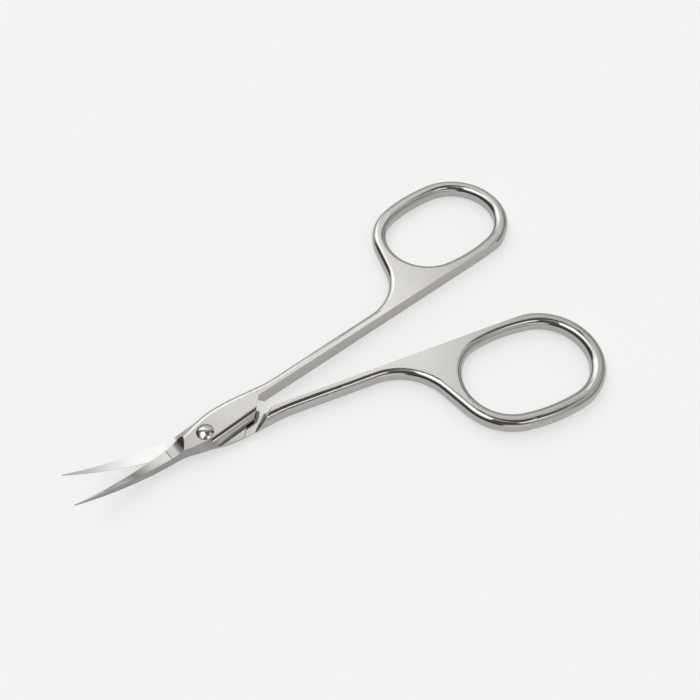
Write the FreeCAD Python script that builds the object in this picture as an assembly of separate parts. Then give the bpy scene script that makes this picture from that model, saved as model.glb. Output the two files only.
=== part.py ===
import FreeCAD, Part
import math
import os

# Cuticle scissors: two forged halves crossing at a lap joint, held by one slotted screw.
# Millimetres. The origin is on the pivot axis, level with the underside that lies on a table.
# +X runs from the pivot towards the finger rings, midway between the handles, and +Z is up.
#
# Each half is shaped in its own frame, with the pivot plate on top: x runs along its grip line
# towards the ring, y points outward, away from the other half. The lower half is the same
# shape turned over, with its blade bent the other way so that the two blades still lap.

# Driving dimensions
handle_thickness = 2.74
edge_round = 1.1
opening_angle = 15.1
upper_ring_distance = 56.9
lower_ring_distance = 50.9

finger_hole_length = 21.4
finger_hole_width = 15.0
finger_hole_bow = 0.3
ring_width = 2.56
grip_trim = 0.78

shank_width = 1.76
shank_root_x = 8.5
shank_root_width = 2.3
neck_radius = 9.0
neck_angle = 70.3

plate_bulge_x = 1.8
plate_outer_width = 2.8
plate_inner_width = 2.87
plate_front_x = -3.2
plate_front_width = 1.8
plate_waist_x = -3.4
plate_waist_width = 1.82
plate_join_x = 0.8
plate_rear_x = 10.1
plate_rear_width = 2.5
plate_rear_lean = 0.4
plate_edge_round = 1.1
plate_overlap = 0.5
pivot_offset = 0.3

shoulder_angle = 43.0
shoulder_run = 0.8
shoulder_clearance = 0.69
relief_angle = 30.0
relief_start_x = 6.8
relief_depth = 0.3
relief_ramp = 0.45

blade_root_x = -6.2
blade_length = 14.9
blade_half_width = 1.33
blade_centre_shift = 0.04
blade_taper_power = 1.1
blade_bend_radius = 35.0
blade_thickness = 0.9
blade_thickness_power = 2.2
blade_tip_half_width = 0.06
blade_tip_thickness = 0.14
edge_land = 0.1
edge_tip_land = 0.05
spine_lean = 0.45
cove_radius = 5.5
cove_sweep = 80.0

screw_diameter = 2.0
screw_head_diameter = 2.6
screw_rim_drop = 0.05
screw_crown = 0.44
screw_slot_width = 0.4
screw_slot_floor = 0.22
screw_slot_angle = -31.0
screw_end_recess = 0.08
screw_end_chamfer = 0.2

# Fits
lap_gap = 0.06
grip_gap = 0.1
journal_clearance = 0.04
thread_clearance = 0.01
seat_clearance = 0.02

# Working values
spare_length = 3.0
largest_round = 0.45
blade_stations = 9
hair = 0.01
beyond = 5.0
far = 120.0

blank_front_x = blade_root_x - spare_length
rounding = min(edge_round, largest_round * handle_thickness, largest_round * ring_width)
lap_height = handle_thickness / 2
lap_face = lap_height + lap_gap / 2
ring_centre_y = finger_hole_width / 2 + ring_width - grip_trim
spine_root_y = blade_centre_shift - blade_half_width
edge_root_y = blade_centre_shift + blade_half_width
grip_face = grip_gap / 2
screw_radius = screw_diameter / 2
screw_head_radius = screw_head_diameter / 2
screw_rim_level = handle_thickness - screw_rim_drop
plate_rear_reach = plate_rear_x * math.cos(math.radians(shoulder_angle))
shoulder_foot = plate_rear_reach + shoulder_clearance - shoulder_run

UP = FreeCAD.Vector(0, 0, 1)
ALONG = FreeCAD.Vector(1, 0, 0)
ORIGIN = FreeCAD.Vector(0, 0, 0)


def point(x, y, z=0.0):
    return FreeCAD.Vector(x, y, z)


def polar(centre, radius, degrees):
    turn = math.radians(degrees)
    return centre + point(radius * math.cos(turn), radius * math.sin(turn))


def line(start, end):
    return Part.LineSegment(start, end).toShape()


def arc(centre, radius, start_degrees, end_degrees):
    middle = polar(centre, radius, (start_degrees + end_degrees) / 2)
    start = polar(centre, radius, start_degrees)
    end = polar(centre, radius, end_degrees)
    return Part.Arc(start, middle, end).toShape()


def prism(points, bottom, top):
    corners = [point(x, y, bottom) for x, y in points]
    face = Part.Face(Part.makePolygon(corners + corners[:1]))
    return face.extrude(UP * (top - bottom))


class Oval:
    # Four arcs: two tight ends, and two sides that bow out past them.
    def __init__(self, centre, half_length, half_width, bow):
        self.centre = centre
        self.end_radius = half_width - bow
        self.end_shift = half_length - self.end_radius
        self.side_radius = (half_width**2 + self.end_shift**2 - self.end_radius**2) / (2 * bow)
        self.side_shift = self.side_radius - half_width
        self.joint = math.degrees(math.atan2(self.side_shift, self.end_shift))
        self.near_centre = centre - point(self.end_shift, 0)
        self.far_centre = centre + point(self.end_shift, 0)

    def far_end(self):
        return arc(self.far_centre, self.end_radius, -self.joint, self.joint)

    def near_end(self, finish):
        return arc(self.near_centre, self.end_radius, 180 - self.joint, finish)

    def outer_side(self):
        return arc(self.centre - point(0, self.side_shift), self.side_radius, self.joint, 180 - self.joint)

    def inner_side(self):
        centre = self.centre + point(0, self.side_shift)
        return arc(centre, self.side_radius, 180 + self.joint, 360 - self.joint)

    def loop(self):
        near_end = self.near_end(180 + self.joint)
        return Part.Wire([self.far_end(), self.outer_side(), near_end, self.inner_side()])


def outer_edge(neck_x):
    # The outer edge of a half, from ahead of the blade root to the start of the neck.
    points = [
        point(blank_front_x, edge_root_y),
        point(blade_root_x, edge_root_y),
        point(plate_front_x, plate_front_width),
        point(plate_bulge_x, plate_outer_width),
        point(shank_root_x, shank_root_width),
        point(neck_x, shank_width),
    ]
    curve = Part.BSplineCurve()
    curve.interpolate(Points=points, InitialTangent=ALONG, FinalTangent=ALONG)
    return curve.toShape()


def blank(ring_distance):
    # Handle, web and ring as one rounded bar, with a spare strip on the grip side.
    centre = point(ring_distance, ring_centre_y)
    half_length = finger_hole_length / 2
    half_width = finger_hole_width / 2
    hole = Oval(centre, half_length, half_width, finger_hole_bow)
    rim = Oval(centre, half_length + ring_width, half_width + ring_width, finger_hole_bow)

    # The neck is an arc off the shank and a straight run that meets the rim at a tangent.
    slope = math.radians(neck_angle)
    rise = rim.near_centre.y - shank_width - neck_radius
    run = (rim.end_radius + neck_radius + rise * math.cos(slope)) / math.sin(slope)
    neck = point(rim.near_centre.x - run, shank_width + neck_radius)
    neck_end = polar(neck, neck_radius, neck_angle - 90)
    rim_start = polar(rim.near_centre, rim.end_radius, neck_angle + 90)

    strip_y = grip_face - 2 * rounding
    ring_foot = polar(rim.far_centre, rim.end_radius, -rim.joint)
    strip_rear = point(ring_foot.x - (ring_foot.y - strip_y) * math.tan(math.radians(rim.joint)), strip_y)
    strip_front = point(blank_front_x, strip_y)
    outline = Part.Wire(
        [
            outer_edge(neck.x),
            arc(neck, neck_radius, -90, neck_angle - 90),
            line(neck_end, rim_start),
            rim.near_end(neck_angle + 90),
            rim.outer_side(),
            rim.far_end(),
            line(ring_foot, strip_rear),
            line(strip_rear, strip_front),
            line(strip_front, point(blank_front_x, edge_root_y)),
        ]
    )
    bar = Part.Face([outline, hole.loop()]).extrude(UP * handle_thickness)
    level = [edge for edge in bar.Edges if edge.BoundBox.ZLength < hair]
    rims = [edge for edge in level if edge.BoundBox.XMax > blank_front_x + hair]
    return bar.makeFillet(rounding, rims)


def across(angle, profile):
    # A slot across the half at this angle: the profile's first value runs square to it, from the pivot.
    corners = [point(u, -far / 2, z) for u, z in profile]
    face = Part.Face(Part.makePolygon(corners + corners[:1]))
    slot = face.extrude(point(0, far, 0))
    slot.rotate(ORIGIN, UP, angle)
    return slot


def lap_cut():
    # Clears the lower level ahead of the sloped shoulder.
    slope = shoulder_run / lap_face
    lowest = -beyond
    profile = [
        (-far / 2, lowest),
        (shoulder_foot + slope * (lap_face - lowest), lowest),
        (shoulder_foot, lap_face),
        (-far / 2, lap_face),
    ]
    return across(shoulder_angle, profile)


def relief_cut():
    # A shallow channel with a ramp up to the foot of the shoulder, so that only the lap near the pivot bears.
    level = lap_face + relief_depth
    profile = [(0, lap_height), (shoulder_foot, lap_height), (shoulder_foot, lap_face)]
    profile += [(shoulder_foot - relief_ramp, level), (0, level)]
    start = relief_start_x * math.cos(math.radians(relief_angle))
    behind = across(relief_angle, [(start, 0), (far / 2, 0), (far / 2, level), (start, level)])
    return across(shoulder_angle, profile).common(behind)


def plate_front():
    # The inner side of the plate ahead of the pivot, leaning in as it rises.
    def outline(z):
        share = (z - lap_face) / (handle_thickness - lap_face)
        lean = spine_lean * (z - lap_face)
        start = point(blade_root_x, spine_root_y + lean, z)
        waist = point(plate_waist_x, lean - plate_waist_width, z)
        end = point(plate_join_x, share * plate_edge_round - plate_inner_width, z)
        back = point(plate_join_x, plate_overlap, z)
        front = point(blade_root_x, plate_overlap, z)
        spine = Part.BSplineCurve()
        spine.interpolate(Points=[start, waist, end], InitialTangent=ALONG, FinalTangent=ALONG)
        sides = [line(end, back), line(back, front), line(front, start)]
        return Part.Wire([spine.toShape()] + sides)

    return Part.makeLoft([outline(lap_face), outline(handle_thickness)], True, True)


def plate_rear():
    # The inner side of the plate behind the pivot, up to its slanted and leaning rear end.
    corner_x = plate_rear_x - plate_rear_width * math.tan(math.radians(shoulder_angle))
    corners = [
        (0, -plate_inner_width),
        (2 * corner_x, plate_inner_width - 2 * plate_rear_width),
        (2 * corner_x, plate_overlap),
        (0, plate_overlap),
    ]
    plate = prism(corners, lap_face, handle_thickness)
    top = [edge for edge in plate.Edges if edge.BoundBox.ZMin > handle_thickness - hair]
    inner = [edge for edge in top if edge.BoundBox.YMax < -hair]
    plate = plate.makeFillet(plate_edge_round, inner)
    profile = [
        (plate_rear_reach - plate_rear_lean, lap_face),
        (far / 2, lap_face),
        (far / 2, handle_thickness),
        (plate_rear_reach, handle_thickness),
    ]
    return plate.cut(across(-shoulder_angle, profile))


def cove_cut():
    # The hollow where the plate drops to the ground face of the blade.
    spine_top_y = spine_root_y + spine_lean * blade_thickness
    tilt = math.degrees(math.atan2(blade_thickness - edge_land, edge_root_y - spine_top_y))
    top = handle_thickness + beyond
    ahead = blade_root_x - beyond

    def along_cove(sweep):
        turn = math.radians(sweep)
        return point(blade_root_x + cove_radius * math.sin(turn), 0, cove_radius * (1 - math.cos(turn)))

    start = along_cove(0)
    end = along_cove(cove_sweep)
    above = point(end.x, 0, top)
    front_above = point(ahead, 0, top)
    front = point(ahead, 0)
    profile = Part.Wire(
        [
            Part.Arc(start, along_cove(cove_sweep / 2), end).toShape(),
            line(end, above),
            line(above, front_above),
            line(front_above, front),
            line(front, start),
        ]
    )
    cutter = Part.Face(profile).extrude(point(0, 4 * beyond, 0))
    cutter.translate(point(0, -2 * beyond, 0))
    cutter.rotate(ORIGIN, ALONG, -tilt)
    cutter.translate(point(0, edge_root_y, lap_face + edge_land))
    return cutter


def blade(bend):
    # A tapering curved blade: flat lapping side below, ground face above, leaning spine.
    total_turn = math.asin(blade_length / blade_bend_radius)
    sections = []
    for station in range(blade_stations):
        share = station / (blade_stations - 1)
        narrowing = share**blade_taper_power
        thinning = share**blade_thickness_power
        half = blade_half_width + (blade_tip_half_width - blade_half_width) * narrowing
        thick = blade_thickness + (blade_tip_thickness - blade_thickness) * thinning
        land = edge_land + (edge_tip_land - edge_land) * share
        turn = total_turn * share
        level = point(
            blade_root_x - blade_bend_radius * math.sin(turn),
            blade_centre_shift,
            lap_face + bend * blade_bend_radius * (1 - math.cos(turn)),
        )
        rise = point(bend * math.sin(turn), 0, math.cos(turn))
        lean = min(spine_lean * thick, half)
        corners = [
            level - point(0, half),
            level + point(0, half),
            level + point(0, half) + rise * land,
            level + point(0, lean - half) + rise * thick,
        ]
        sections.append(Part.makePolygon(corners + corners[:1]))
    return Part.makeLoft(sections, True, False)


def half(ring_distance, bend):
    # One forged half in its own frame.
    lowest = -beyond
    highest = handle_thickness + beyond
    body = blank(ring_distance)
    body = body.cut(prism([(-far, -far), (far, -far), (far, grip_face), (-far, grip_face)], lowest, highest))
    body = body.cut(
        prism([(-far, -far), (blade_root_x, -far), (blade_root_x, far), (-far, far)], lowest, highest)
    )
    body = body.cut(lap_cut())
    body = body.fuse([plate_front(), plate_rear()])
    body = body.cut([relief_cut(), cove_cut()])
    body = body.fuse(blade(bend))
    return body.removeSplitter()


def cylinder(diameter, bottom, top):
    return Part.makeCylinder(diameter / 2, top - bottom, point(0, 0, bottom))


def countersink(play, top):
    # A 45 degree cone under the screw's rim, continued up to the given level.
    bottom_radius = screw_radius + play
    height = top - screw_rim_level + screw_head_radius - screw_radius
    return Part.makeCone(bottom_radius, bottom_radius + height, height, point(0, 0, top - height))


def upper_half():
    shape = half(upper_ring_distance, 1)
    shape.translate(point(0, pivot_offset))
    hole = cylinder(screw_diameter + 2 * journal_clearance, -beyond, handle_thickness + beyond)
    seat = countersink(seat_clearance * math.sqrt(2), handle_thickness + beyond)
    shape = shape.cut([hole, seat])
    shape.rotate(ORIGIN, UP, opening_angle / 2)
    return shape


def lower_half():
    shape = half(lower_ring_distance, -1)
    shape.rotate(point(0, 0, lap_height), ALONG, 180)
    shape.translate(point(0, pivot_offset))
    hole = cylinder(screw_diameter + 2 * thread_clearance, -beyond, handle_thickness + beyond)
    shape = shape.cut(hole)
    shape.rotate(ORIGIN, UP, -opening_angle / 2)
    return shape


def pivot_screw():
    # A raised countersunk head with a straight slot, on a shank that threads into the lower half.
    dome_radius = (screw_head_radius**2 + screw_crown**2) / (2 * screw_crown)
    top = screw_rim_level + screw_crown
    dome = Part.makeSphere(dome_radius, point(0, 0, top - dome_radius))
    crown = cylinder(screw_head_diameter, screw_rim_level, top + beyond).common(dome)
    cone = countersink(0, screw_rim_level)
    shank = cylinder(screw_diameter, screw_end_recess, screw_rim_level)
    end = [edge for edge in shank.Edges if edge.BoundBox.ZMax < screw_end_recess + hair]
    shank = shank.makeChamfer(screw_end_chamfer, end)
    slot = Part.makeBox(
        2 * screw_head_diameter,
        screw_slot_width,
        beyond,
        point(-screw_head_diameter, -screw_slot_width / 2, screw_rim_level - screw_slot_floor),
    )
    slot.rotate(ORIGIN, UP, screw_slot_angle)
    return crown.fuse([cone, shank]).cut(slot).removeSplitter()


nodes = {
    "upper_half": upper_half(),
    "lower_half": lower_half(),
    "pivot_screw": pivot_screw(),
}

os.makedirs("parts", exist_ok=True)
for name, shape in nodes.items():
    box = shape.BoundBox
    solid_count = len(shape.Solids)
    print(name, "solids", solid_count, "valid", shape.isValid(), "volume", round(shape.Volume, 2))
    print("   x", round(box.XMin, 2), round(box.XMax, 2), "y", round(box.YMin, 2), round(box.YMax, 2))
    print("   z", round(box.ZMin, 2), round(box.ZMax, 2))
    shape.exportStep("parts/" + name + ".step")
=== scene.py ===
"""Cuticle scissors: two forged steel halves on a slotted screw, lying open on a pale table."""

import math

import bmesh
import bpy
from mathutils import Euler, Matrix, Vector

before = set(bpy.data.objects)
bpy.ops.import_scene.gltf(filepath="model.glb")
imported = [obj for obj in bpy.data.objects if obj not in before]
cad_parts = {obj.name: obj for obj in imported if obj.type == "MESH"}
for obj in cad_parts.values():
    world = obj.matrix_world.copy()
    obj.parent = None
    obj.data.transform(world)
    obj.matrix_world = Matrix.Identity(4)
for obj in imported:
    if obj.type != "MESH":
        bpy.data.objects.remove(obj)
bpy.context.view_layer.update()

# Lengths are in millimetres and angles in degrees, and these turn lengths into Blender's metres.
mm = 0.001
micron = 0.000001

# How each half lies in the frame. The lower half is the upper one turned over.
handle_thickness = 2.74
grip_slant = 7.55
grip_offset = 0.3

# Where the finishes of a half begin and end: x runs from the screw along the grip, z up through the plate.
# The lap is the thinned plate where the halves cross, and the lapping side of a blade meets the other blade.
blade_root_x = -6.2
lapping_start_x = -4.5
plate_front_x = -4.0
plate_join_x = 0.8
shoulder_start_x = 6.5
shank_start_x = 9.0
lap_end_x = 11.5
shoulder_end_x = 14.5
lap_low_z = 1.0
lap_high_z = 2.0
# Where the painted shade on the lapping face sets in towards the tip.
tip_shade_fade_x = (-9.5, -20.5)
# How far either side of the blade's root the painted shade line in the crease reaches.
crease_shade_reach = (0.16, 0.05)

# Half the width of the edge over which a finish sets in.
crisp_edge = 0.1
plate_edge = 0.2
spine_edge = 0.3
soft_edge = 0.5
shank_edge = 1.0

# How squarely a surface has to face one way for a finish to set in there, and to be whole.
level_facing = (0.98, 0.997)
grip_facing = (0.8, 0.95)
ground_facing = (0.4, 0.7)
lapping_facing = (0.5, 0.8)
spine_facing = (0.55, 0.8)
shoulder_facing = (0.35, 0.6)

# Tones of the steel. The satin's change along x is painted reflection, lighter and darker bands on the
# flats, and each other finish lies over those before it.
polish_tones = ((0.43, 0.426, 0.416), (0.46, 0.455, 0.445))
satin_start_x = -5.0
satin_end_x = 55.0
satin_reflection_tones = [
    (-5, (0.4, 0.382, 0.357)),
    (5, (0.48, 0.47, 0.455)),
    (16, (0.43, 0.42, 0.405)),
    (36, (0.51, 0.501, 0.488)),
    (52, (0.41, 0.4, 0.383)),
]
# Finish tones. Some of them are painted light, as marked below.
finish_and_painted_light_tones = {
    "grip": (0.49, 0.475, 0.46),
    # The lap has its own hatched finish, and its darker tone is painted shade where the halves overlap.
    "lap": (0.37, 0.36, 0.345),
    "ground": (0.56, 0.555, 0.545),
    # The lapping face's light tone is a painted highlight.
    "lapping": (0.7, 0.694, 0.688),
    # Painted shade: the lapping face darker towards the tip.
    "painted_tip_shade": (0.46, 0.455, 0.45),
    # The spine's dark tone is painted shade.
    "spine": (0.34, 0.34, 0.338),
    # The shoulder's light tone is a painted highlight on its facet.
    "shoulder": (0.58, 0.572, 0.557),
    # Painted shade: a dark line in the crease at the blade's root.
    "crease_shade": (0.12, 0.115, 0.11),
}
# How strongly the painted shade line in the crease darkens the steel.
crease_shade_share = 0.7
scratch_tone = (0.27, 0.26, 0.248)
scratch_share = 0.2
screw_tones = ((0.56, 0.55, 0.535), (0.62, 0.612, 0.6))

# Roughness of the polish and the screw, what each finish adds to the polish, and how much noise varies them.
polish_roughness = 0.05
finish_roughness = {
    "satin": 0.26,
    "lap": 0.06,
    "grip": 0.27,
    "ground": 0.15,
    "lapping": 0.33,
    "spine": 0.28,
    "shoulder": 0.3,
}
steel_unevenness = 0.04
screw_roughness = 0.13
screw_unevenness = 0.05

# Marks in the steel: waves of noise to the millimetre, and depths in thousandths of a millimetre.
grain_waves = 3.2
speckle_waves = 9.0
cloud_waves = 0.35
grinding_waves = (5.0, 0.35, 0.35)
hatch_waves = (2.0, 7.0, 1.0)
turning_waves = 9.0
screw_cloud_waves = 1.2
plain_detail = 2.0
fine_detail = 3.0
noise_middle = 0.5
grain_depth = 0.6
speckle_depth = 0.6
grinding_depth = 1.8
hatch_depth = 1.44
lapping_depth = 0.48
turning_depth = 0.6

floor_size = 1200
floor_gap = 0.02
paper_tone = (0.92, 0.92, 0.92)
paper_glow = (0.99, 0.99, 0.99)
paper_glow_share = 0.58

# The camera of the photograph, with the focal length in pixels of a 700 pixel frame.
camera_azimuth = -31.227
camera_elevation = 54.512
camera_distance = 136.823
camera_target = (27.616, 3.3, 0)
camera_focal_pixels = 825.306
camera_clip_start = 10
frame_pixels = 700
sensor_width = 36

# The studio, as seen from the camera: azimuth to the right of straight ahead, elevation, half width,
# half height, softness of the edge, and colour. Each panel lies over those before it.
wall_grey = (0.74, 0.73, 0.71)
studio = {
    "left_wall": ((-118, -5, 62, 45, 8), (0.08, 0.073, 0.06)),
    "horizon": ((-15, 3, 75, 4, 3), (0.18, 0.168, 0.15)),
    "right_strip": ((75, 28, 45, 5, 3), (0.16, 0.15, 0.13)),
    "behind": ((180, 50, 40, 22, 10), (0.16, 0.145, 0.12)),
    "behind_low": ((165, 10, 20, 10, 6), (1.2, 1.2, 1.2)),
    "overhead_left": ((-95, 68, 58, 16, 6), (2.4, 2.4, 2.4)),
    "ceiling": ((50, 76, 85, 12, 4), (0.14, 0.125, 0.1)),
    "ceiling_right": ((85, 69, 40, 9, 4), (0.14, 0.125, 0.1)),
    "front_left_low": ((-33, 20, 17, 8, 4), (1.35, 1.35, 1.35)),
    "front_left": ((-33, 40, 17, 13, 4), (2.3, 2.3, 2.3)),
    "front_right": ((32, 51, 7, 8, 4), (1.7, 1.7, 1.7)),
    "front_key": ((-2, 52, 16, 10, 9), (2.4, 2.4, 2.4)),
    "right_key": ((133, 55, 18, 7, 3), (1.9, 1.9, 1.9)),
}

# A Mix node's colour sockets go by number, because its names repeat.
mix_share, mix_first, mix_second, mix_result = 0, 6, 7, 2


class Signal:
    """One output of a node. Arithmetic on it adds Math nodes to its tree."""

    def __init__(self, tree, socket):
        self.tree = tree
        self.socket = socket

    def math(self, operation, *others):
        return self.tree.add("ShaderNodeMath", {"operation": operation}, dict(enumerate((self, *others))))

    def __add__(self, other):
        return self.math("ADD", other)

    def __radd__(self, other):
        return self.math("ADD", other)

    def __sub__(self, other):
        return self.math("SUBTRACT", other)

    def __rsub__(self, other):
        return (self * -1).math("ADD", other)

    def __mul__(self, other):
        return self.math("MULTIPLY", other)

    def __rmul__(self, other):
        return self.math("MULTIPLY", other)

    def __abs__(self):
        return self.math("ABSOLUTE")

    def rise(self, start, end):
        """0 before start and 1 after end, with a smooth step between; falls where start is the higher."""
        low, high = sorted((start, end))
        step = self.tree.add(
            "ShaderNodeMapRange",
            {"interpolation_type": "SMOOTHSTEP"},
            {"Value": self, "From Min": low, "From Max": high},
        )
        return step if start < end else 1 - step

    def past(self, limit, edge):
        """1 past a limit and 0 before it, changing over this far on both sides."""
        return self.rise(limit - edge, limit + edge)

    def before(self, limit, edge):
        """1 before a limit and 0 past it, changing over this far on both sides."""
        return self.rise(limit + edge, limit - edge)


class Tree:
    """The nodes of a material or of the world."""

    def __init__(self, owner):
        owner.use_nodes = True
        self.nodes = owner.node_tree.nodes
        self.links = owner.node_tree.links
        self.nodes.clear()

    def add(self, kind, settings=None, inputs=None, output=0):
        node = self.nodes.new(kind)
        for name, value in (settings or {}).items():
            if name == "stops":
                self.set_stops(node.color_ramp, value)
            else:
                setattr(node, name, value)
        for name, value in (inputs or {}).items():
            if isinstance(value, Signal):
                self.links.new(value.socket, node.inputs[name])
            else:
                node.inputs[name].default_value = value
        return Signal(self, node.outputs[output]) if node.outputs else node

    @staticmethod
    def set_stops(ramp, stops):
        while len(ramp.elements) < len(stops):
            ramp.elements.new(1)
        for element, (place, colour) in zip(ramp.elements, stops):
            element.position = place
            element.color = (*colour, 1)

    def mix(self, share, first, second):
        """The colour first where share is 0, second where it is 1."""
        sockets = {mix_share: share, mix_first: self.opaque(first), mix_second: self.opaque(second)}
        return self.add("ShaderNodeMix", {"data_type": "RGBA"}, sockets, output=mix_result)

    @staticmethod
    def opaque(colour):
        return colour if isinstance(colour, Signal) else (*colour, 1)

    def parts(self, vector):
        """The x, y and z of a vector."""
        split = self.add("ShaderNodeSeparateXYZ", inputs={0: vector})
        return [Signal(self, socket) for socket in split.socket.node.outputs]

    def dot(self, vector, direction):
        inputs = {0: vector, 1: direction}
        return self.add("ShaderNodeVectorMath", {"operation": "DOT_PRODUCT"}, inputs, output=1)

    def stretched(self, place, scale):
        return self.add("ShaderNodeMapping", {"vector_type": "POINT"}, {"Vector": place, "Scale": scale})

    def noise(self, place, waves, detail=plain_detail):
        """Soft noise between 0 and 1, with this many waves to a unit of place."""
        return self.add("ShaderNodeTexNoise", inputs={"Vector": place, "Scale": waves, "Detail": detail})

    def bump(self, height):
        """The normal of a surface with these heights, in thousandths of a millimetre."""
        return self.add("ShaderNodeBump", inputs={"Strength": 1.0, "Distance": micron, "Height": height})

    def seen(self):
        """1 for what the camera sees, by itself or mirrored in the steel."""
        rays = self.add("ShaderNodeLightPath")
        camera, glossy, clear = (
            Signal(self, rays.socket.node.outputs[name])
            for name in ("Is Camera Ray", "Is Glossy Ray", "Is Transmission Ray")
        )
        return camera.math("MAXIMUM", glossy).math("MAXIMUM", clear)


def radians(*degrees):
    return tuple(math.radians(angle) for angle in degrees)


def new_material(name):
    material = bpy.data.materials.new(name)
    return material, Tree(material)


def finish_with(tree, shader_inputs):
    shader = tree.add("ShaderNodeBsdfPrincipled", inputs=shader_inputs)
    tree.add("ShaderNodeOutputMaterial", inputs={"Surface": shader})


def finish_shares(tree, place, normal):
    """How much of each finish there is at a point of a half, from 0 to 1, and where painted shade lies:
    towards the lapping face's tip and in a line in the crease at the blade's root.
    """
    x, _, z = tree.parts(place)
    facing_x, facing_y, facing_z = tree.parts(normal)
    on_blade = x.before(blade_root_x, crisp_edge)
    level = abs(facing_z).rise(*level_facing) * (1 - on_blade)
    at_lap_height = z.past(lap_low_z, crisp_edge) * z.before(lap_high_z, crisp_edge)
    lap = level * at_lap_height * x.before(lap_end_x, soft_edge)
    lapping = x.before(lapping_start_x, soft_edge) * (facing_z * -1).rise(*lapping_facing)
    by_shoulder = x.past(shoulder_start_x, soft_edge) * x.before(shoulder_end_x, soft_edge)
    return {
        "satin": level * (1 - lap) * x.past(plate_front_x, plate_edge),
        "grip": (facing_y * -1).rise(*grip_facing) * x.past(shank_start_x, shank_edge),
        "lap": lap,
        "ground": on_blade * facing_z.rise(*ground_facing),
        "lapping": lapping,
        # Painted shade on the lapping face, towards the tip.
        "painted_tip_shade": lapping * x.rise(*tip_shade_fade_x),
        "spine": (facing_y * -1).rise(*spine_facing) * x.before(plate_join_x, spine_edge),
        "shoulder": (facing_x * -1).rise(*shoulder_facing) * by_shoulder,
        # Painted shade: a thin line in the crease at the blade's root.
        "crease_shade": abs(x - blade_root_x).rise(*crease_shade_reach) * facing_z.rise(*ground_facing) * crease_shade_share,
    }


def satin_reflection(tree, place):
    """The satin flats' painted reflection: lighter and darker bands along the half."""
    length = satin_end_x - satin_start_x
    stops = [((at - satin_start_x) / length, tone) for at, tone in satin_reflection_tones]
    along = (tree.parts(place)[0] - satin_start_x) * (1 / length)
    return tree.add("ShaderNodeValToRGB", {"stops": stops}, {0: along})


def forged_steel(name, turn, shift):
    """A half's steel, in the half's own frame: x along the grip, y outwards and z up through the plate."""
    material, tree = new_material(name)
    coordinates = tree.add("ShaderNodeTexCoord", output="Object")
    own_normal = tree.add("ShaderNodeTexCoord", output="Normal")
    place = tree.add(
        "ShaderNodeMapping",
        {"vector_type": "POINT"},
        {"Vector": coordinates, "Location": shift, "Rotation": turn, "Scale": (1 / mm,) * 3},
    )
    normal = tree.add(
        "ShaderNodeMapping",
        {"vector_type": "VECTOR"},
        {"Vector": own_normal, "Rotation": turn},
    )
    share = finish_shares(tree, place, normal)
    stone_ground = share["grip"] + share["ground"] + share["spine"]

    grain = tree.noise(place, grain_waves, fine_detail)
    speckle = tree.noise(place, speckle_waves)
    cloud = tree.noise(place, cloud_waves)
    grinding = tree.noise(tree.stretched(place, grinding_waves), 1.0, fine_detail)
    hatch = tree.noise(tree.stretched(place, hatch_waves), 1.0)

    roughness = polish_roughness + (cloud - noise_middle) * steel_unevenness
    roughness = roughness + (grain - noise_middle) * steel_unevenness * (share["satin"] + stone_ground)
    for finish, added in finish_roughness.items():
        roughness = roughness + added * share[finish]

    height = (
        (grain * grain_depth + speckle * speckle_depth) * share["satin"]
        + grinding * stone_ground * grinding_depth
        + hatch * share["lap"] * hatch_depth
        + grinding * share["lapping"] * lapping_depth
    )

    tint = tree.mix(cloud, *polish_tones)
    # The satin's painted reflection lies over the polish.
    tint = tree.mix(share["satin"], tint, satin_reflection(tree, place))
    # Each finish's tone lies over the last. The lap, spine, tip and crease tones are painted shade, and the
    # lapping and shoulder tones are painted highlight.
    for finish, tone in finish_and_painted_light_tones.items():
        tint = tree.mix(share[finish], tint, tone)
    scratches = (
        grain * (share["satin"] + share["grip"])
        + hatch * share["lap"]
        + grinding * (share["ground"] + share["spine"])
    )
    tint = tree.mix(scratches * scratch_share, tint, scratch_tone)
    finish_with(
        tree, {"Base Color": tint, "Metallic": 1.0, "Roughness": roughness, "Normal": tree.bump(height)}
    )
    return material


def polished_screw(name):
    """The screw's bright steel, with turning marks round its crown."""
    material, tree = new_material(name)
    coordinates = tree.add("ShaderNodeTexCoord", output="Object")
    place = tree.stretched(coordinates, (1 / mm,) * 3)
    x, y, _ = tree.parts(place)
    radius = (x * x + y * y).math("SQRT")
    turning = tree.add(
        "ShaderNodeTexNoise",
        {"noise_dimensions": "1D"},
        {"W": radius, "Scale": turning_waves, "Detail": plain_detail},
    )
    cloud = tree.noise(place, screw_cloud_waves)
    roughness = screw_roughness + (cloud - noise_middle) * screw_unevenness
    bump = tree.bump(turning * turning_depth)
    tint = tree.mix(cloud, *screw_tones)
    finish_with(tree, {"Base Color": tint, "Metallic": 1.0, "Roughness": roughness, "Normal": bump})
    return material


def pale_paper(name):
    """The table's paper. Part of its white is the same everywhere, which keeps the shadow on it soft."""
    material, tree = new_material(name)
    diffuse = tree.add("ShaderNodeBsdfDiffuse", inputs={"Color": (*paper_tone, 1)})
    glow = tree.add("ShaderNodeEmission", inputs={"Color": (*paper_glow, 1), "Strength": 1.0})
    inputs = {0: tree.seen() * paper_glow_share, 1: diffuse, 2: glow}
    shader = tree.add("ShaderNodeMixShader", inputs=inputs)
    tree.add("ShaderNodeOutputMaterial", inputs={"Surface": shader})
    return material


def make_floor():
    mesh = bpy.data.meshes.new("table_paper")
    shape = bmesh.new()
    bmesh.ops.create_grid(shape, x_segments=1, y_segments=1, size=floor_size / 2 * mm)
    shape.to_mesh(mesh)
    shape.free()
    floor = bpy.data.objects.new("table_paper", mesh)
    mesh.materials.append(pale_paper("pale_paper"))
    floor.location.z = -floor_gap * mm
    bpy.context.scene.collection.objects.link(floor)


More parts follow.
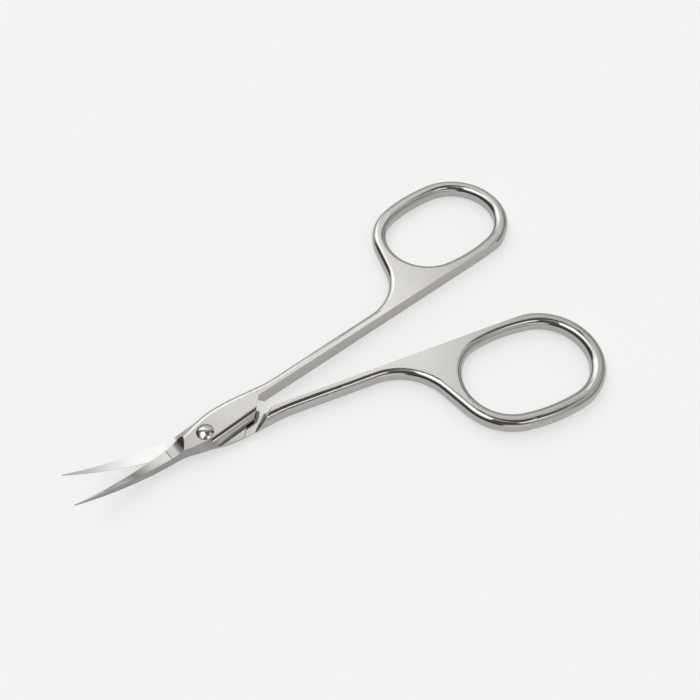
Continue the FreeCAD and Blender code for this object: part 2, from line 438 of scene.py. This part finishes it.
def make_studio():
    """Light panels round the table, for the steel to mirror. The camera sees a pale backdrop there."""
    world = bpy.data.worlds.new("studio")
    bpy.context.scene.world = world
    tree = Tree(world)
    direction = tree.add("ShaderNodeTexCoord", output="Generated")
    heading = math.radians(90 + camera_azimuth)
    ahead = tree.dot(direction, (math.cos(heading), math.sin(heading), 0))
    aside = tree.dot(direction, (math.sin(heading), -math.cos(heading), 0))
    azimuth = aside.math("ARCTAN2", ahead)
    elevation = tree.parts(direction)[2].math("ARCSINE")
    light = wall_grey
    for (middle, height, half_width, half_height, soft), colour in studio.values():
        across = abs((azimuth - math.radians(middle)).math("WRAP", math.pi, -math.pi))
        upward = abs(elevation - math.radians(height))
        inside = across.before(*radians(half_width, soft)) * upward.before(*radians(half_height, soft))
        light = tree.mix(inside, light, colour)
    seen = tree.add("ShaderNodeLightPath", output="Is Camera Ray")
    tone = tree.mix(seen, light, paper_tone)
    background = tree.add("ShaderNodeBackground", inputs={"Color": tone, "Strength": 1.0})
    tree.add("ShaderNodeOutputWorld", inputs={"Surface": background})


def make_camera():
    lens = bpy.data.cameras.new("camera")
    lens.sensor_width = sensor_width
    lens.lens = camera_focal_pixels / frame_pixels * sensor_width
    lens.clip_start = camera_clip_start * mm
    turn = Euler(radians(90 - camera_elevation, 0, camera_azimuth))
    camera = bpy.data.objects.new("camera", lens)
    camera.rotation_euler = turn
    back = turn.to_matrix() @ Vector((0, 0, 1))
    camera.location = (Vector(camera_target) + back * camera_distance) * mm
    bpy.context.scene.collection.objects.link(camera)
    bpy.context.scene.camera = camera


def dress(node, material):
    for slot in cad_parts[node].material_slots:
        slot.material = material


upper_turn = radians(0, 0, -grip_slant)
lower_turn = radians(180, 0, -grip_slant)
dress("upper_half", forged_steel("upper_steel", upper_turn, (0, -grip_offset, 0)))
dress("lower_half", forged_steel("lower_steel", lower_turn, (0, grip_offset, handle_thickness)))
dress("pivot_screw", polished_screw("screw_steel"))
make_floor()
make_studio()
make_camera()
bpy.context.scene.view_settings.view_transform = "Standard"
